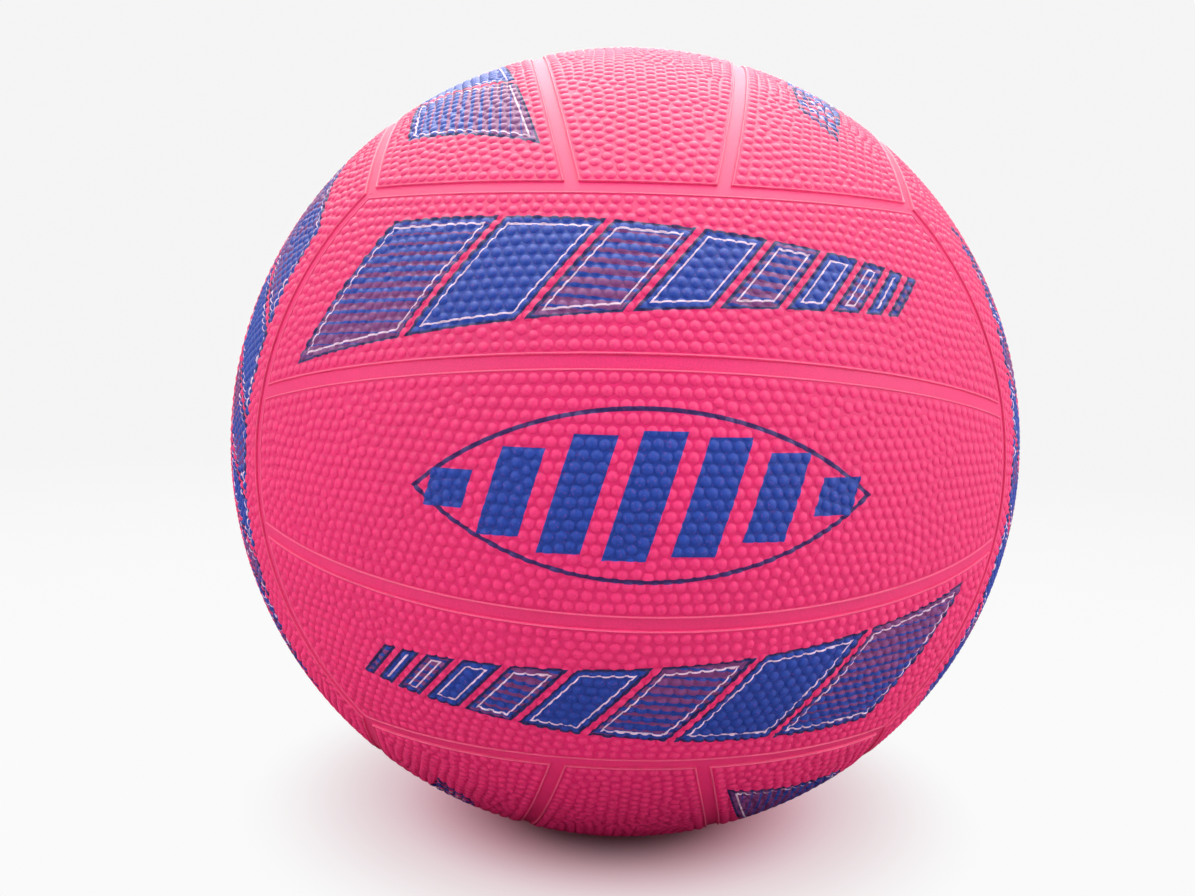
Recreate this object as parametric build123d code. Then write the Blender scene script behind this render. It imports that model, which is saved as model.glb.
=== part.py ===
from build123d import *
from math import sqrt
import os

# A moulded rubber netball. Millimetres and degrees, +Z up, origin at the ball's centre.
# The front face looks along -Y and the valve sits in the back face, along +Y.

# Driving dimensions of the whole ball
BALL_DIAMETER = 222.8       # over the tops of the moulded grip pebbles, 700 around
SEAM_ANGLE = 14.25          # tilt of each face seam, a great circle, from the middle of its face

# Driving dimensions of the cover
GRIP_HEIGHT = 0.4           # pebbles that stand on the panel faces
PANEL_THICKNESS = 1.3
CHANNEL_WIDTH = 3.0         # smooth channel between two panel rims
CHANNEL_DEPTH = 0.25        # channel floor below the panel faces
LIP_WIDTH = 0.5             # thin raised lip along every panel rim
LIP_HEIGHT = 0.25

# Driving dimensions of the layers under the cover
GLUE_GAP = 0.1
CARCASS_THICKNESS = 0.4
WINDING_THICKNESS = 0.3
BLADDER_THICKNESS = 0.5

# Driving dimensions of the valve
PLUG_STEM_RADIUS = 3.0
PLUG_STEM_LENGTH = 16.0     # from the underside of the plug's head to its inner end
PLUG_HEAD_RADIUS = 3.7
PLUG_RECESS = 0.2           # plug's face below the panel face
PLUG_TIP_CHAMFER = 0.8
NEEDLE_BORE_RADIUS = 1.0
PLUG_SEAL_THICKNESS = 2.5   # closed slit at the inner end of the needle bore
STEM_CLEARANCE = 0.05       # plug stem to valve seat, radial
HEAD_CLEARANCE = 0.15       # plug head to the panel's valve hole, radial
HEAD_GAP = 0.05             # underside of the plug's head to the valve seat
SEAT_WALL = 2.2             # valve seat's tube around the plug stem
SEAT_CLEARANCE = 0.2        # valve seat's neck to the layers it passes through, radial
SEAT_FLANGE_RADIUS = 15.0
SEAT_FLANGE_THICKNESS = 1.2
SEAT_FLOOR_GAP = 1.0        # seat's tube past the plug's inner end
VALVE_PAD_RADIUS = 5.8      # smooth pad around the valve, inside its own lip

# Radii of the layers, from the outside in
BALL_RADIUS = BALL_DIAMETER / 2
FACE_RADIUS = BALL_RADIUS - GRIP_HEIGHT
PANEL_INNER = FACE_RADIUS - PANEL_THICKNESS
CARCASS_OUTER = PANEL_INNER - GLUE_GAP
CARCASS_INNER = CARCASS_OUTER - CARCASS_THICKNESS
WINDING_OUTER = CARCASS_INNER - GLUE_GAP
WINDING_INNER = WINDING_OUTER - WINDING_THICKNESS
BLADDER_OUTER = WINDING_INNER - GLUE_GAP
BLADDER_INNER = BLADDER_OUTER - BLADDER_THICKNESS
FLANGE_OUTER = BLADDER_INNER - GLUE_GAP
FLANGE_INNER = FLANGE_OUTER - SEAT_FLANGE_THICKNESS

# The valve seat's neck ends flat, just under the panel that it carries
NECK_RADIUS = PLUG_STEM_RADIUS + STEM_CLEARANCE + SEAT_WALL
NECK_TOP = sqrt(PANEL_INNER**2 - NECK_RADIUS**2) - GLUE_GAP
HEAD_UNDERSIDE = NECK_TOP + HEAD_GAP
PLUG_FACE = FACE_RADIUS - PLUG_RECESS
PLUG_TIP = HEAD_UNDERSIDE - PLUG_STEM_LENGTH
SEAT_END = PLUG_TIP - SEAT_FLOOR_GAP

# The six faces are parted by planes at this distance from the centre, so that three faces meet at
# each corner of a cube. A width on the surface is shorter across such a plane by the slope there.
EDGE_DISTANCE = FACE_RADIUS / sqrt(3)
EDGE_SLOPE = sqrt(2 / 3)
HALF_CHANNEL = CHANNEL_WIDTH / 2

UP = Vector(0, 0, 1)
FORWARD = Vector(0, -1, 0)
SEAM_NORMAL = UP.rotate(Axis.X, -SEAM_ANGLE)
VALVE_AXIS = Vector(0, 1, 0)

# Planes through the ball's centre that halve the angles between the three channels at a corner:
# two for the left end and two for the right end of the channel between the front and top faces.
MITRE_NORMALS = [Vector(2, -1, 1), Vector(1, -2, -1), Vector(-2, -1, 1), Vector(-1, -2, -1)]

# Each face as the front face turned: its name, the names of its two outer strips, and where the
# front face's own X and Z axes point.
FACES = [
    ("front", "upper", "lower", (1, 0, 0), (0, 0, 1)),
    ("back", "upper", "lower", (-1, 0, 0), (0, 0, 1)),
    ("top", "left", "right", (0, 1, 0), (-1, 0, 0)),
    ("bottom", "left", "right", (0, -1, 0), (-1, 0, 0)),
    ("left", "front", "rear", (0, 0, -1), (0, -1, 0)),
    ("right", "front", "rear", (0, 0, 1), (0, -1, 0)),
]
VALVE_FACE = "back"


def spherical_shell(outer_radius, inner_radius):
    """A full hollow ball."""
    return Sphere(outer_radius) - Sphere(inner_radius)


def beyond(shape, normal, distance):
    """The part of a shape past a plane at a distance from the centre along its normal."""
    cut = Plane(origin=normal * distance, z_dir=normal)
    return split(shape, bisect_by=cut, keep=Keep.TOP)


def valve_rod(radius, low, high):
    """A round rod on the valve's axis, between two distances from the centre."""
    start = Plane(origin=VALVE_AXIS * low, z_dir=VALVE_AXIS)
    return extrude(start * Circle(radius), amount=high - low)


def valve_hole(radius):
    """A cutter for a round hole through the layers at the valve."""
    return valve_rod(radius, FLANGE_INNER, BALL_RADIUS + LIP_HEIGHT)


def outer_strip(shape, inset):
    """The upper strip of the front face, drawn in from its channels by an inset."""
    edge_inset = (HALF_CHANNEL + inset) * EDGE_SLOPE
    shape = beyond(shape, FORWARD, EDGE_DISTANCE + edge_inset)
    shape = beyond(shape, -UP, edge_inset - EDGE_DISTANCE)
    return beyond(shape, SEAM_NORMAL, HALF_CHANNEL + inset)


def middle_strip(shape, inset):
    """The middle strip of the front face, drawn in from its channels by an inset."""
    edge_inset = (HALF_CHANNEL + inset) * EDGE_SLOPE
    shape = beyond(shape, FORWARD, EDGE_DISTANCE + edge_inset)
    shape = beyond(shape, -SEAM_NORMAL, HALF_CHANNEL + inset)
    lower_normal = SEAM_NORMAL.rotate(Axis.Y, 180)
    return beyond(shape, -lower_normal, HALF_CHANNEL + inset)


def panel(strip):
    """One cover panel: a curved sheet with a thin raised lip along its rim."""
    sheet = strip(spherical_shell(FACE_RADIUS + LIP_HEIGHT, PANEL_INNER), 0)
    pocket = strip(spherical_shell(FACE_RADIUS + 2 * LIP_HEIGHT, FACE_RADIUS), LIP_WIDTH)
    return sheet - pocket


def valve_panel():
    """The middle panel that holds the valve, placed at the back: its hole and the pad's own lip."""
    sheet = panel(middle_strip).rotate(Axis.Z, 180)
    lip_ring = spherical_shell(FACE_RADIUS + LIP_HEIGHT, FACE_RADIUS - CHANNEL_DEPTH)
    lip_ring = lip_ring & valve_rod(VALVE_PAD_RADIUS + LIP_WIDTH, EDGE_DISTANCE, BALL_RADIUS + LIP_HEIGHT)
    lip_ring = lip_ring - valve_hole(VALVE_PAD_RADIUS)
    return sheet + lip_ring - valve_hole(PLUG_HEAD_RADIUS + HEAD_CLEARANCE)


def channel_shell():
    """The layer that all channel strips are cut from."""
    return spherical_shell(FACE_RADIUS - CHANNEL_DEPTH, PANEL_INNER)


def seam_strip():
    """The smooth strip along the front face's upper seam, ending at the face's own edge channels."""
    strip = beyond(channel_shell(), FORWARD, EDGE_DISTANCE + HALF_CHANNEL * EDGE_SLOPE)
    strip = beyond(strip, SEAM_NORMAL, -HALF_CHANNEL)
    return beyond(strip, -SEAM_NORMAL, -HALF_CHANNEL)


def edge_strip():
    """The smooth strip between the front and top faces, mitred at both corners."""
    half_width = HALF_CHANNEL * EDGE_SLOPE
    strip = beyond(channel_shell(), FORWARD, 0)
    strip = beyond(strip, UP, EDGE_DISTANCE - half_width)
    strip = beyond(strip, -UP, -EDGE_DISTANCE - half_width)
    for mitre in MITRE_NORMALS:
        strip = beyond(strip, mitre.normalized(), 0)
    return strip


def layer(outer_radius, inner_radius):
    """A full shell under the cover, open only where the valve seat's neck passes through."""
    return spherical_shell(outer_radius, inner_radius) - valve_hole(NECK_RADIUS + SEAT_CLEARANCE)


def valve_seat():
    """The rubber boss bonded inside the bladder: a curved flange and the tube that grips the plug."""
    flange = spherical_shell(FLANGE_OUTER, FLANGE_INNER)
    flange = flange & valve_rod(SEAT_FLANGE_RADIUS, EDGE_DISTANCE, BALL_RADIUS)
    tube = valve_rod(NECK_RADIUS, SEAT_END, NECK_TOP)
    socket = valve_rod(PLUG_STEM_RADIUS + STEM_CLEARANCE, SEAT_END, NECK_TOP)
    return flange + tube - socket


def valve_plug():
    """The plug that comes out for replacement, with a blind needle bore that ends in a closed slit."""
    stem = valve_rod(PLUG_STEM_RADIUS, PLUG_TIP, PLUG_FACE)
    tip_edge = stem.edges().sort_by(Axis.Y)[0]
    stem = chamfer(tip_edge, PLUG_TIP_CHAMFER)
    head = valve_rod(PLUG_HEAD_RADIUS, HEAD_UNDERSIDE, PLUG_FACE)
    bore = valve_rod(NEEDLE_BORE_RADIUS, PLUG_TIP + PLUG_SEAL_THICKNESS, PLUG_FACE)
    return stem + head - bore


def write(node, shape):
    """Saves one sub-part under its node's name."""
    shape.label = node
    export_step(shape, f"parts/{node}.step")


os.makedirs("parts", exist_ok=True)

outer_panel = panel(outer_strip)
middle_panel = panel(middle_strip)
seam_channel = seam_strip()
edge_channel = edge_strip()

for face, first, second, x_axis, z_axis in FACES:
    turned = Plane(origin=(0, 0, 0), x_dir=x_axis, z_dir=z_axis).location
    half_turn = turned * Location((0, 0, 0), (0, 180, 0))
    for side, place in ((first, turned), (second, half_turn)):
        write(f"{face}_{side}_panel", outer_panel.moved(place))
        write(f"{face}_{side}_seam_strip", seam_channel.moved(place))
        write(f"{face}_{side}_edge_strip", edge_channel.moved(place))
    if face == VALVE_FACE:
        write(f"{face}_middle_panel", valve_panel())
    else:
        write(f"{face}_middle_panel", middle_panel.moved(turned))

write("rubber_carcass", layer(CARCASS_OUTER, CARCASS_INNER))
write("nylon_winding", layer(WINDING_OUTER, WINDING_INNER))
write("bladder", layer(BLADDER_OUTER, BLADDER_INNER))
write("valve_seat", valve_seat())
write("valve_plug", valve_plug())
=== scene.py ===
# %% [markdown]
# # A moulded rubber netball
# A netball is a shell of eighteen pebbled rubber panels, parted by smooth channels and moulded over
# a thread-wound carcass and an airtight bladder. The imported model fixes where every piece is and
# how large it is. This lesson gives the pieces their looks: pebbles, lips, ink and matt rubber.

# %% Load the frame
import math

import bmesh
import bpy
import numpy as np
from mathutils import Matrix, Quaternion, Vector, geometry, kdtree, noise


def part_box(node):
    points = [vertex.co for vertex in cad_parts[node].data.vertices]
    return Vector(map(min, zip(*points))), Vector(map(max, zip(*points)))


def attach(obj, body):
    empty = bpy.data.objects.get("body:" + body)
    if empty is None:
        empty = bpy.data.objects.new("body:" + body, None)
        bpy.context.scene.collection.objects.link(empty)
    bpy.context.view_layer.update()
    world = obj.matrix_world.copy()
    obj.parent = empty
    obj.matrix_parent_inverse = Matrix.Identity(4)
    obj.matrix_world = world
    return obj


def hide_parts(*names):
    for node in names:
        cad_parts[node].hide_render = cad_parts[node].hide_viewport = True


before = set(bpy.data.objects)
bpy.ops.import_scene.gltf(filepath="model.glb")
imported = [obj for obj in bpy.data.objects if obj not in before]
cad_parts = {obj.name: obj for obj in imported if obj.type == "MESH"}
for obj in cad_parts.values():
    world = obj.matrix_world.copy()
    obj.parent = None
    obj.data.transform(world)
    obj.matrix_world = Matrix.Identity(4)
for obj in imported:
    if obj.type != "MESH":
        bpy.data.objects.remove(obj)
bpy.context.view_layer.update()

# %% [markdown]
# ## Sizes and layout
# The six faces of the ball are parted like a cube's. On each face two seams, great circles that
# tilt up and down from the middle, part three strips: two outer ones and a middle one. A strip could
# be drawn where it lies, but all faces are alike, so each is made once, on the front face, and later
# turned to its place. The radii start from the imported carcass, so the looks always fit the solids.

# %% Sizes of the cover
MM = 0.001
PANEL_THICKNESS = 1.3 * MM
GLUE_GAP = 0.1 * MM
CHANNEL_WIDTH = 3.0 * MM
CHANNEL_DEPTH = 0.25 * MM
LIP_WIDTH = 0.5 * MM
SEAM_TILT = math.radians(14.25)

PANEL_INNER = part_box("rubber_carcass")[1].z + GLUE_GAP
FACE_RADIUS = PANEL_INNER + PANEL_THICKNESS
CHANNEL_FLOOR = FACE_RADIUS - CHANNEL_DEPTH
HALF_CHANNEL = CHANNEL_WIDTH / 2
EDGE_DISTANCE = FACE_RADIUS / math.sqrt(3)
EDGE_SLOPE = math.sqrt(2 / 3)
print("panel face radius in mm:", round(FACE_RADIUS / MM, 3))

# %% [markdown]
# ## Flat cuts
# The rim of a panel is four arcs. They could be traced point by point, but each lies in a flat cut
# through the ball. A cut is kept as a normal that points into the strip and a distance from the
# ball's centre, so one rule serves every outline: move the cuts in by an inset, find the corners
# where two cuts meet on the ball, and join them by arcs.

# %% Flat cuts around a strip
FORWARD = np.array((0.0, -1.0, 0.0))
UP = np.array((0.0, 0.0, 1.0))
SEAM_NORMAL = np.array((0.0, math.sin(SEAM_TILT), math.cos(SEAM_TILT)))
UPSIDE_DOWN = np.array((1.0, 1.0, -1.0))
LEFT_FOR_RIGHT = np.array((-1.0, 1.0, 1.0))


def strip_cuts(strip, inset):
    """The low, high and end cuts of a front strip, drawn in from its channels by an inset."""
    margin = HALF_CHANNEL + inset
    end = (FORWARD, EDGE_DISTANCE + margin * EDGE_SLOPE)
    if strip == "outer":
        return (SEAM_NORMAL, margin), (-UP, margin * EDGE_SLOPE - EDGE_DISTANCE), end
    return (-SEAM_NORMAL * UPSIDE_DOWN, margin), (-SEAM_NORMAL, margin), end


def corner(cut, end, radius):
    """The right-hand point where a cut meets the end cut on a ball of some radius."""
    normal, distance = cut
    y = -end[1]
    z = (distance - normal[1] * y) / normal[2]
    return np.array((math.sqrt(radius**2 - y**2 - z**2), y, z))


def strip_sides(strip, inset, radius):
    """The four sides of a strip in turn, each as its two corners and its cut."""
    low, high, end = strip_cuts(strip, inset)
    low_right, high_right = corner(low, end, radius), corner(high, end, radius)
    low_left, high_left = low_right * LEFT_FOR_RIGHT, high_right * LEFT_FOR_RIGHT
    return [
        (low_left, low_right, low),
        (low_right, high_right, end),
        (high_right, high_left, high),
        (high_left, low_left, end),
    ]


for strip in ("outer", "middle"):
    first_side = strip_sides(strip, 0, FACE_RADIUS)[0]
    print(strip, "strip, lower left corner in mm:", np.round(first_side[0] / MM, 1))

# %% Arcs and rims
def arc(start, stop, cut):
    """The centre, the two arms and the angle of the arc that a cut leaves between two points."""
    centre = cut[0] * cut[1]
    first, last = start - centre, stop - centre
    return centre, first, last, math.acos(first @ last / (first @ first))


def along(start, stop, cut, share):
    """A point between two others, at a share of their arc."""
    centre, first, last, angle = arc(start, stop, cut)
    from_first, from_last = math.sin((1 - share) * angle), math.sin(share * angle)
    return centre + (from_first * first + from_last * last) / math.sin(angle)


def arc_length(start, stop, cut):
    """The length of one side."""
    _, first, _, angle = arc(start, stop, cut)
    return math.sqrt(first @ first) * angle


def rim_counts(strip, inset, spacing):
    """How many points each side of a strip takes at a spacing."""
    return [round(arc_length(*side) / spacing) for side in strip_sides(strip, inset, FACE_RADIUS)]


def rim(strip, inset, counts):
    """A closed loop of points around a strip, on the panel face."""
    points = []
    for side, count in zip(strip_sides(strip, inset, FACE_RADIUS), counts):
        points += [along(*side, step / count) for step in range(count)]
    return np.array(points)


for strip in ("outer", "middle"):
    lengths = [round(arc_length(*side) / MM, 1) for side in strip_sides(strip, 0, FACE_RADIUS)]
    print(strip, "strip sides in mm:", lengths)

# %% [markdown]
# ## Where the pebbles stand
# The first row of pebbles follows every rim, and further in they are packed closely but not in a
# strict grid. A texture could fake them, but they show in the outline and catch light one by one, so
# they are real shapes. A jittered lattice is pushed apart, like marbles in a tray, until the gaps
# are even, while the first row stays in place.

# %% A loose lattice
PEBBLE_PITCH = 2.78 * MM
ROW_GAP = PEBBLE_PITCH * math.sqrt(3) / 2
LATTICE_REACH = 110 * MM
LATTICE_JITTER = 0.24
STRIP_TILT = {"outer": SEAM_TILT, "middle": 0.0}


def tilted_axes(tilt):
    """The forward and upward directions after a tilt up from the front."""
    forward = np.array((0.0, -math.cos(tilt), math.sin(tilt)))
    upward = np.array((0.0, math.sin(tilt), math.cos(tilt)))
    return forward, upward


def lattice(strip, cuts, dice):
    """Staggered rows with a little jitter, on the ball, kept where all cuts allow."""
    rows = np.arange(-LATTICE_REACH, LATTICE_REACH, ROW_GAP)
    steps = np.arange(-LATTICE_REACH, LATTICE_REACH, PEBBLE_PITCH)
    length, height = np.meshgrid(steps, rows)
    length[::2] += PEBBLE_PITCH / 2
    length = length.ravel() + dice.normal(0, LATTICE_JITTER * PEBBLE_PITCH, length.size)
    height = height.ravel() + dice.normal(0, LATTICE_JITTER * PEBBLE_PITCH, height.size)
    forward, upward = tilted_axes(STRIP_TILT[strip])
    turn, lift = length / FACE_RADIUS, height / FACE_RADIUS
    points = np.outer(np.sin(lift), upward) + np.outer(np.cos(lift) * np.cos(turn), forward)
    points[:, 0] += np.cos(lift) * np.sin(turn)
    points *= FACE_RADIUS
    inside = np.all([points @ normal > distance for normal, distance in cuts], axis=0)
    return points[inside]


print("rows of the lattice in mm:", round(ROW_GAP / MM, 2))

# %% Push the pebbles apart
SPREAD_ROUNDS = 30
SPREAD_REACH = 1.25 * PEBBLE_PITCH
SPREAD_STEP = 0.22
NEIGHBOURS = 18
REFRESH = 10     # rounds between two searches for neighbours


def spread(free, fixed, cuts):
    """Pushes neighbours apart on the ball until the gaps are even, and keeps them inside the cuts."""
    for turn in range(SPREAD_ROUNDS):
        everyone = np.concatenate((free, fixed))
        if turn % REFRESH == 0:
            neighbours = np.argsort(-(free @ everyone.T), axis=1)[:, 1:NEIGHBOURS + 1]
        gaps = free[:, None] - everyone[neighbours]
        distances = np.linalg.norm(gaps, axis=2, keepdims=True)
        push = np.clip(SPREAD_REACH - distances, 0, None) * gaps / distances
        free = free + SPREAD_STEP * push.sum(axis=1)
        for normal, distance in cuts:
            short = np.clip(distance - free @ normal, 0, None)
            free = free + np.outer(short, normal)
        free = free * (FACE_RADIUS / np.linalg.norm(free, axis=1, keepdims=True))
    return free


print("pebbles push each other when closer than", round(SPREAD_REACH / MM, 2), "mm")

# %% Pebble centres
FIRST_ROW = LIP_WIDTH + 1.45 * MM
SECOND_ROW = FIRST_ROW + 0.8 * PEBBLE_PITCH
VALVE_PAD = 5.8 * MM
PAD_FOOT = VALVE_PAD + LIP_WIDTH
PAD_FIRST_ROW = PAD_FOOT + FIRST_ROW - LIP_WIDTH
OUTER_SEED, MIDDLE_SEED, VALVE_SEED = 11, 23, 37


def ring_points(radius, count):
    """A ring on the panel face around the middle of the front face."""
    turns = np.arange(count) * 2 * math.pi / count
    depth = np.full(count, -math.sqrt(FACE_RADIUS**2 - radius**2))
    return np.stack((radius * np.cos(turns), depth, radius * np.sin(turns)), axis=1)


def pebble_centres(strip, seed, clear_radius=None):
    """All pebble centres of a strip, with a clear round place in its middle if one is asked for."""
    dice = np.random.default_rng(seed)
    fixed = rim(strip, FIRST_ROW, rim_counts(strip, FIRST_ROW, PEBBLE_PITCH))
    cuts = list(strip_cuts(strip, SECOND_ROW))
    if clear_radius:
        count = round(2 * math.pi * clear_radius / PEBBLE_PITCH)
        fixed = np.concatenate((fixed, ring_points(clear_radius, count)))
        second = clear_radius + SECOND_ROW - FIRST_ROW
        cuts.append((-FORWARD, -math.sqrt(FACE_RADIUS**2 - second**2)))
    free = spread(lattice(strip, cuts, dice), fixed, cuts)
    return np.concatenate((fixed, free))


centres = {
    "outer": pebble_centres("outer", OUTER_SEED),
    "middle": pebble_centres("middle", MIDDLE_SEED),
    "valve": pebble_centres("middle", VALVE_SEED, PAD_FIRST_ROW),
}
print("pebbles:", {kind: len(points) for kind, points in centres.items()})

# %% [markdown]
# ## A panel's sheet
# A panel is one sheet of rubber with a thin lip along its rim. Only three kinds differ: the outer
# one, the middle one, and the middle one with the valve's pad and hole, so three sheets are enough
# for all eighteen. A sheet needs a vertex under each pebble, and no grid has that. So the centres
# are laid flat by a map that keeps circles round, triangulated there, and put back on the ball.

# %% Loops of the lips
PANEL_STRIPS = {"outer": "outer", "middle": "middle", "valve": "middle"}
LIP_STEPS = [(0.5, 0.0), (0.4, 0.18), (0.27, 0.30), (0.13, 0.27), (0.0, 0.06)]     # inset, height in mm
RIM_SPACING = 2.2 * MM
VALVE_HOLE = 3.85 * MM
HOLE_MARGIN = 0.3 * MM


def lip_loops(strip):
    """The loops of the lip from its inner foot out to the rim, still on the panel face."""
    counts = rim_counts(strip, 0, RIM_SPACING)
    return [rim(strip, inset * MM, counts) for inset, _ in LIP_STEPS]


def pad_loops():
    """The loops of the valve pad's round lip, from its outer foot in to the edge of the valve hole."""
    count = round(2 * math.pi * PAD_FOOT / (RIM_SPACING / 2))
    loops = [ring_points(PAD_FOOT - (LIP_WIDTH - inset * MM), count) for inset, _ in LIP_STEPS]
    return loops + [ring_points(VALVE_HOLE + HOLE_MARGIN, count), ring_points(VALVE_HOLE, count)]


chains = {kind: [lip_loops(strip)] for kind, strip in PANEL_STRIPS.items()}
chains["valve"].append(pad_loops())
print("points along each lip:", {kind: [len(chain[0]) for chain in chains[kind]] for kind in chains})

# %% Triangulate the pebble centres
INSIDE_ONLY = 1
SAME_POINT = 1e-7
SHEET_TILT = {"outer": math.radians(25), "middle": 0.0}


def flatten(points, tilt):
    """A flat map of points on the ball, seen from straight across it: circles stay circles."""
    ahead, over = tilted_axes(tilt)
    directions = points / FACE_RADIUS
    scale = 1 / (1 + directions @ ahead)
    pairs = np.stack((directions[:, 0] * scale, directions @ over * scale), axis=1)
    return [Vector(pair) for pair in pairs]


def sheet_between(strip, loops, inner_points):
    """A triangulated sheet inside an outer loop, and outside a second loop where there is one."""
    points = np.concatenate(loops + [inner_points])
    borders, start = [], 0
    for loop in loops:
        borders += [(start + i, start + (i + 1) % len(loop)) for i in range(len(loop))]
        start += len(loop)
    flat = flatten(points, SHEET_TILT[strip])
    _, _, triangles, sources, _, _ = geometry.delaunay_2d_cdt(flat, borders, [], INSIDE_ONLY, SAME_POINT)
    sheet = bmesh.new()
    verts = [sheet.verts.new(points[source[0]]) for source in sources]
    in_hole = [len(loops[0]) <= source[0] < start for source in sources]
    for triangle in triangles:
        if not all(in_hole[i] for i in triangle):
            sheet.faces.new([verts[i] for i in triangle])
    return sheet


sheets = {}
for kind, strip in PANEL_STRIPS.items():
    sheets[kind] = sheet_between(strip, [chain[0] for chain in chains[kind]], centres[kind])
    print(kind, "sheet:", len(sheets[kind].faces), "triangles")

# %% [markdown]
# ## Lip and thickness
# The mould leaves a thin bead along every rim, the lip, and one around the valve. It could be a
# bead of its own, swept along the rim, but then a seam would show. So the sheet's own rim is
# extruded loop by loop, solidify adds the walls and the underside, and last the loops are lifted,
# a little unevenly, as moulded rubber is.

# %% Grow the lips
def point_tree(points):
    """A quick search for the nearest of some points."""
    tree = kdtree.KDTree(len(points))
    for index, point in enumerate(points):
        tree.insert(point, index)
    tree.balance()
    return tree


def grow(sheet, here, there):
    """Extrudes the open edges along one loop and moves the new loop to its own place."""
    tree = point_tree(here)
    on_loop = {vert for vert in sheet.verts if tree.find(vert.co)[2] < SAME_POINT}
    edges = [edge for edge in sheet.edges if edge.is_boundary and set(edge.verts) <= on_loop]
    made = bmesh.ops.extrude_edge_only(sheet, edges=edges)["geom"]
    for vert in made:
        if isinstance(vert, bmesh.types.BMVert):
            vert.co = there[tree.find(vert.co)[1]]


for kind, sheet in sheets.items():
    for chain in chains[kind]:
        for here, there in zip(chain, chain[1:]):
            grow(sheet, here, there)
    print(kind, "sheet with its lips:", len(sheet.faces), "faces")

# %% Thicken the sheets
def thicken(sheet, inner_radius):
    """Turns a sheet on the ball into a closed solid that reaches in to a radius."""
    bmesh.ops.recalc_face_normals(sheet, faces=sheet.faces)
    top = min(vert.co.length for vert in sheet.verts)
    bmesh.ops.solidify(sheet, geom=sheet.faces, thickness=top - inner_radius)
    middle = (top + inner_radius) / 2
    for vert in sheet.verts:
        if vert.co.length < middle:
            vert.co = vert.co.normalized() * inner_radius
    bmesh.ops.recalc_face_normals(sheet, faces=sheet.faces)


for kind, sheet in sheets.items():
    thicken(sheet, PANEL_INNER)
    print(kind, "panel with its walls and underside:", len(sheet.faces), "faces")

# %% [markdown]
# ## Marks for painted highlight and shade
# The tops of the lips get a painted highlight, and the ground between the pebbles gets painted
# shade, deeper in colour. A picture could mark these places, but it would need thousands of pixels
# across a panel. So two numbers are kept on every vertex: "ridge" rises to one along the top of a
# lip, and "crown" is one on all that stands up and nought at the foot of a lip or a pebble.

# %% Raise the lips
WAVE_LENGTH = 9 * MM
WAVE_HEIGHT = 0.2
LIP_TOP = max(height for _, height in LIP_STEPS)


def mark(sheet, name):
    """A number on every vertex that a finish can read."""
    return sheet.verts.layers.float.get(name) or sheet.verts.layers.float.new(name)


def raise_lip(sheet, loops):
    """Lifts the loops of a lip to their heights, a little uneven, and marks them for the painted
    highlight and shade.
    """
    tree = point_tree(np.concatenate(loops[:len(LIP_STEPS)]))
    ridge, crown = mark(sheet, "ridge"), mark(sheet, "crown")
    for vert in sheet.verts:
        _, index, gap = tree.find(vert.co)
        if gap < SAME_POINT:
            _, height = LIP_STEPS[index // len(loops[0])]
            vert[ridge] = height / LIP_TOP
            vert[crown] = height > 0
            uneven = 1 + WAVE_HEIGHT * noise.noise(vert.co / WAVE_LENGTH)
            vert.co *= 1 + height * uneven * MM / FACE_RADIUS


for kind, sheet in sheets.items():
    crown = mark(sheet, "crown")
    for vert in sheet.verts:
        vert[crown] = 1
    for chain in chains[kind]:
        raise_lip(sheet, chain)
    highest = max(vert.co.length for vert in sheet.verts) - FACE_RADIUS
    print(kind, "panel's lip, highest in mm:", round(highest / MM, 2))

# %% [markdown]
# ## Pebbles from bevelled vertices
# Ready domes could be scattered over the sheet, but they would only lie on it. A vertex bevel swaps
# each pebble's vertex for a small flat pad instead. The pad's edges are split once and its corners
# drawn onto a circle, an inset makes the shoulder and a poke the crown. One dome takes about three
# dozen triangles, which matters when a ball has nearly twenty thousand of them.

# %% Raise the pebbles
PEBBLE_RADIUS = 1.27 * MM
PEBBLE_HEIGHT = 0.48 * MM
SHOULDER_INSET = 0.32 * MM
SHOULDER_HEIGHT = 0.33 * MM
PAD_SHARE = 38     # of the way to the next pebble, in per cent
CLOSEST_SHARE = 0.49
SIZE_SPREAD = 0.05
SIZE_SEEDS = {"outer": 5, "middle": 6, "valve": 7}


def pebble_sizes(points, seed):
    """A radius for every pebble: nearly equal, and never into its neighbour."""
    dice = np.random.default_rng(seed)
    closeness = np.sort(-(points @ points.T), axis=1)[:, 1]
    gap = np.sqrt(np.clip(2 * FACE_RADIUS**2 + 2 * closeness, 0, None))
    wanted = PEBBLE_RADIUS * (1 + SIZE_SPREAD * dice.uniform(-1, 1, len(points)))
    return np.minimum(wanted, CLOSEST_SHARE * gap)


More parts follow.
